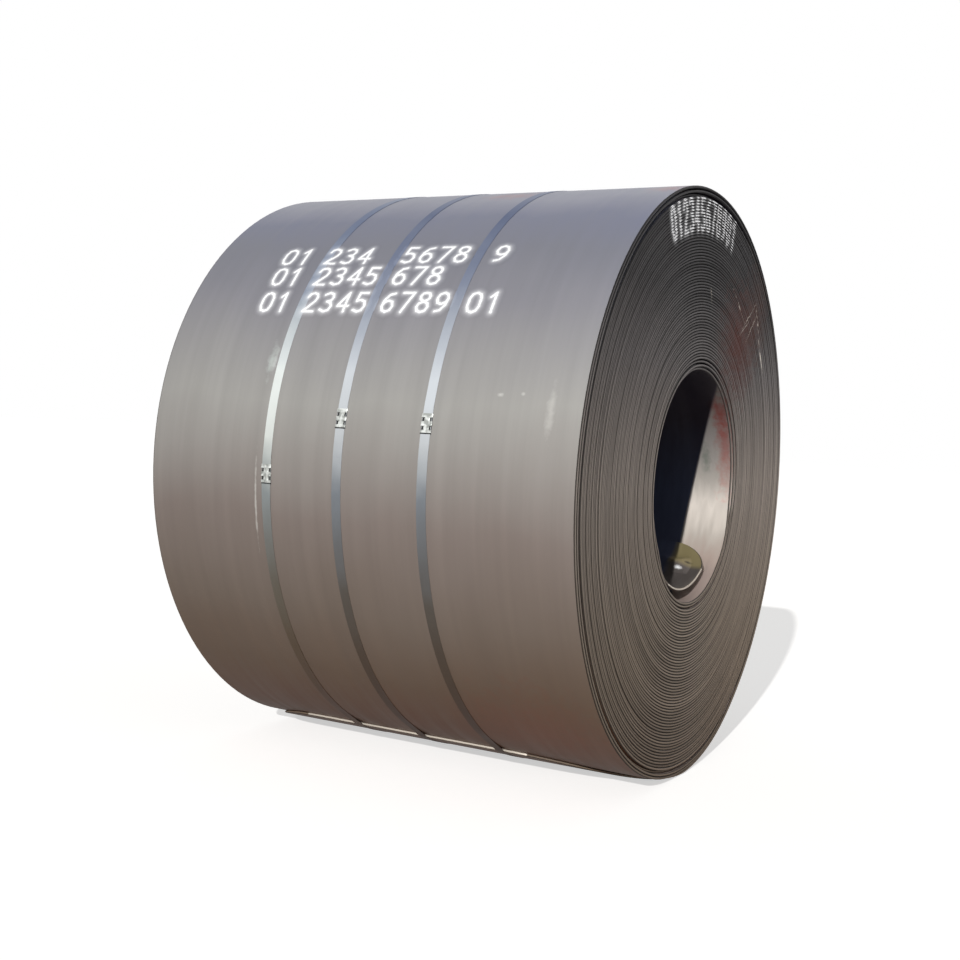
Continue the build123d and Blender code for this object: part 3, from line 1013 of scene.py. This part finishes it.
def sprayEnd(material):
    lowAngle, highAngle = spray["endAngles"]
    radius, margin = spray["endMiddle"], spray["endMargin"]
    last = len(spray["endDigits"]) - 1
    digits = []
    for index, digit in enumerate(spray["endDigits"]):
        angle = lowAngle + (highAngle - lowAngle) * index / last
        across = -math.radians(angle) * radius
        digits.append(placeDigit(digit, across, radius, spray["endWide"], spray["endHigh"]))
    levels = [(lap, depth) for lap in range(*spray["endLaps"]) for depth in spray["endDepths"]]
    sweep = lowAngle - highAngle + 2 * margin
    columns = round(math.radians(sweep) * radius / spray["cell"])

    def spotAt(column, row, lift=0.0):
        lap, depth = levels[row]
        past = (highAngle - margin + sweep * column / columns - strip["tailAngle"]) % 360
        degrees = 360 * (strip["laps"] - lap) + past
        inward = 1 - min(depth, 1 - depth) * sheetThickness / strip["edgeRound"]
        place = stripPoint(degrees, max(inward * strip["edgeDeep"], tiny), depth)
        return place - Vector((0, lift, 0)), (math.radians(degrees) * meanRadius, place.y + halfWidth, depth)

    def distanceAt(column, row):
        place = spotAt(column, row)[0]
        around = -math.atan2(place.z, place.x) * radius
        return max(strokeDistance(around, math.hypot(place.x, place.z), digits) - spray["endHeavier"], 0.0)

    sprayFilm("end_digits", columns, len(levels) - 1, distanceAt, spotAt, [material],
              lambda *rows: levels[min(rows)][0] == levels[max(rows)][0], lambda middle: 0)


spraySkin([makeMillScale("sprayedMillScale", sprayed=True), makeStrapping("sprayedStrapping", sprayed=True)])
sprayEnd(makeRolledEdge("sprayedEdges", sprayed=True))
print("digits sprayed")


# Floor, lights and camera

stage = dict(
    floorSize=120.0,
    floorColor="#e4e2df",
    floorGlow=0.56,               # added for the camera alone, so that the floor is near white
    fill=0.24,                    # strength of the even light from all round
    keyFrom=(-1.0, -0.219, 0.443),
    keySpread=0.8,                # degrees across
    keyStrength=3.0,
    faceFrom=(0.0, -1.0, 0.0),    # a level lamp that lights the marked end alone
    faceSpread=20.0,
    faceStrength=1.4,
)


def setStage():
    material, tree, shader = newMaterial("paleFloor")
    shader.inputs["Base Color"].default_value = hexColor(stage["floorColor"])
    shader.inputs["Roughness"].default_value = 0.9
    shader.inputs["Specular IOR Level"].default_value = 0.0
    shader.inputs["Emission Color"].default_value = (1, 1, 1, 1)
    rays = addNode(tree, "ShaderNodeLightPath").outputs
    glow = addNode(tree, "ShaderNodeMath", {"operation": "MULTIPLY", 1: stage["floorGlow"]},
                   {0: rays["Is Camera Ray"]})
    tree.links.new(glow.outputs[0], shader.inputs["Emission Strength"])
    bm = newGrid(2, 2, stage["floorSize"] / 2)
    bmesh.ops.translate(bm, verts=bm.verts, vec=(0, 0, cadBox[0].z))
    floor = meshObject("floor", bm, [material])

    world = bpy.data.worlds.new("softLight")
    bpy.context.scene.world = world
    world.use_nodes = True
    tree = world.node_tree
    rays = addNode(tree, "ShaderNodeLightPath").outputs
    clear = addNode(tree, "ShaderNodeMath", {"operation": "MAXIMUM"},
                    {0: rays["Is Camera Ray"], 1: rays["Is Transmission Ray"]})
    seen = addNode(tree, "ShaderNodeMath", {"operation": "MAXIMUM"}, {0: clear, 1: rays["Is Glossy Ray"]})
    strength = addNode(tree, "ShaderNodeMapRange", {"To Min": stage["fill"], "To Max": 1.0}, {"Value": seen})
    background = tree.nodes["Background"]
    background.inputs["Color"].default_value = (1, 1, 1, 1)
    tree.links.new(strength.outputs["Result"], background.inputs["Strength"])

    for name in ("key", "face"):
        light = bpy.data.lights.new(f"{name}Light", "SUN")
        light.angle = math.radians(stage[f"{name}Spread"])
        light.energy = stage[f"{name}Strength"]
        lamp = newObject(f"{name}Light", light)
        lamp.rotation_mode = "QUATERNION"
        lamp.rotation_quaternion = Vector(stage[f"{name}From"]).to_track_quat("Z", "Y")


view = dict(place=(-4.1417, -2.1839, 0.1634), yaw=-61.38, pitch=2.472, roll=3.054, lens=48.70)


def placeCamera():
    data = bpy.data.cameras.new("camera")
    data.lens = view["lens"]
    camera = newObject("camera", data)
    turn = (Matrix.Rotation(math.radians(view["yaw"]), 4, "Z")
            @ Matrix.Rotation(math.radians(90 - view["pitch"]), 4, "X")
            @ Matrix.Rotation(math.radians(view["roll"]), 4, "Z"))
    camera.matrix_world = Matrix.Translation(view["place"]) @ turn
    bpy.context.scene.camera = camera
    bpy.context.scene.view_settings.view_transform = "Standard"


setStage()
placeCamera()
print("stage set")
